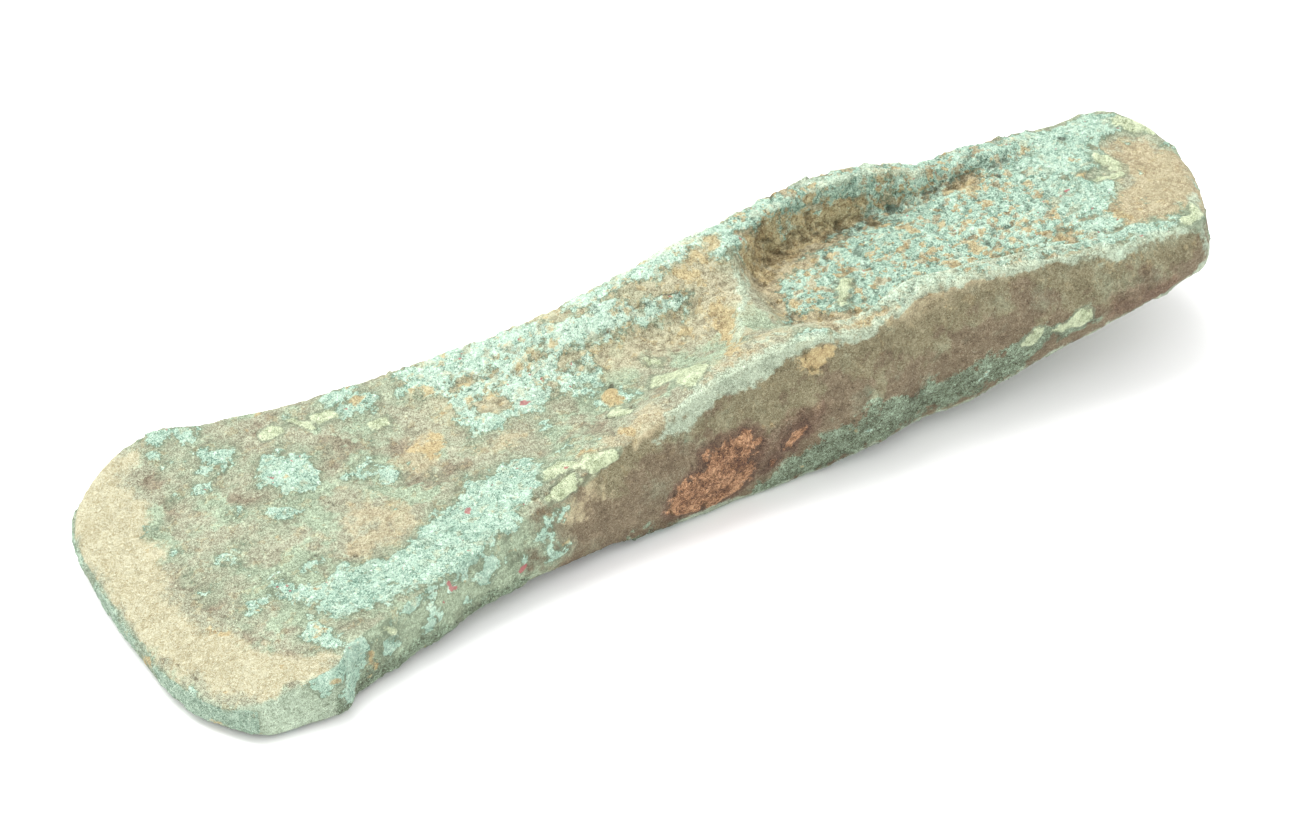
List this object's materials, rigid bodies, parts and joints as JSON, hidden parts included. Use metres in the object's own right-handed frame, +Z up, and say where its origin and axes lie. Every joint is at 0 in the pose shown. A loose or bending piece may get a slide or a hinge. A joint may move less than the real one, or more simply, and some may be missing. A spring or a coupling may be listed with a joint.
{
  "type": "bronze axe head",
  "caption": "Cast bronze axe head with a flared blunt blade, side flanges and a stop on each face for a split wooden haft; corroded green and brown, lying loose.",
  "frame": {"origin": "centre of the bounding box on the ground, below the middle of the axe as it lies on one face", "axes": "+X from the cutting edge to the butt along the ground, +Z up, +Y across the blade towards its far side; the axe's own middle plane rises about 5.6 degrees towards the butt"},
  "size_m": [0.1506, 0.0512, 0.023],
  "materials": {
    "patinated_bronze": "matte corroded bronze: turquoise crust, brown and sandy patches"
  },
  "bodies": {
    "root": {"axe_head": "patinated_bronze"}
  },
  "joints": []
}
